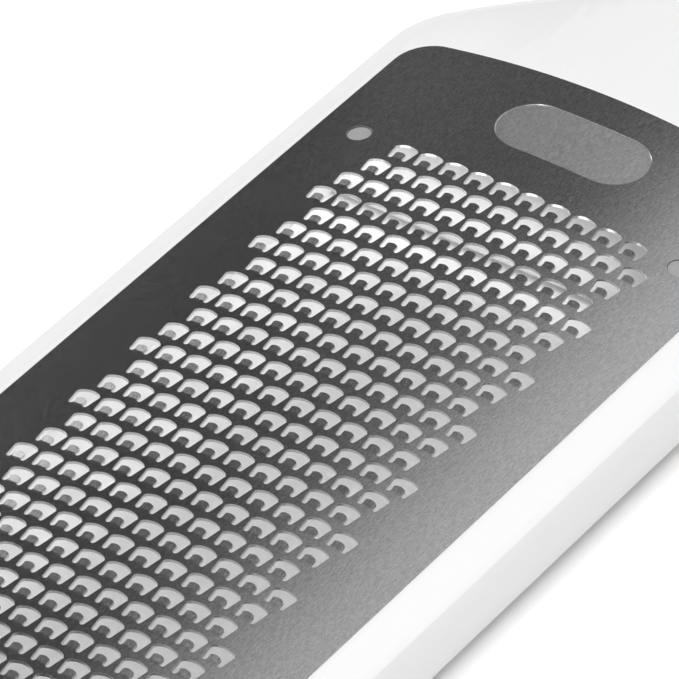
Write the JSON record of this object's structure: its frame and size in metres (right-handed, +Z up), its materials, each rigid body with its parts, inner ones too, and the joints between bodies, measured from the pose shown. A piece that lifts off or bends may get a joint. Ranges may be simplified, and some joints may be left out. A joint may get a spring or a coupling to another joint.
{
  "type": "fine grater",
  "caption": "Hand-held paddle grater: bowed etched steel plate with small arched cutting windows, pinned in a white moulded frame with an oval handle and hanging hole.",
  "frame": {"origin": "on the surface that the grater stands on, under the middle of its bounding box", "axes": "+Y along the grater towards the end of the handle, +Z up out of the plate, +X across"},
  "size_m": [0.0728, 0.2974, 0.0152],
  "materials": {
    "satin_steel": "satin, fine brushing along the length",
    "white_plastic": "smooth satin-gloss moulded plastic",
    "grey_plastic": "matt light grey plastic",
    "soft_grey": "matt soft-touch rubber"
  },
  "bodies": {
    "root": {"grating_plate": "satin_steel", "frame": "white_plastic", "back_cover": "white_plastic", "grip_top": "soft_grey", "grip_back": "soft_grey", "hang_ring": "soft_grey", "stud_handle_left": "grey_plastic", "stud_handle_right": "grey_plastic", "stud_toe_left": "grey_plastic", "stud_toe_right": "grey_plastic", "foot_toe_left": "soft_grey", "foot_toe_right": "soft_grey", "foot_shoulder_left": "soft_grey", "foot_shoulder_right": "soft_grey"}
  },
  "joints": []
}
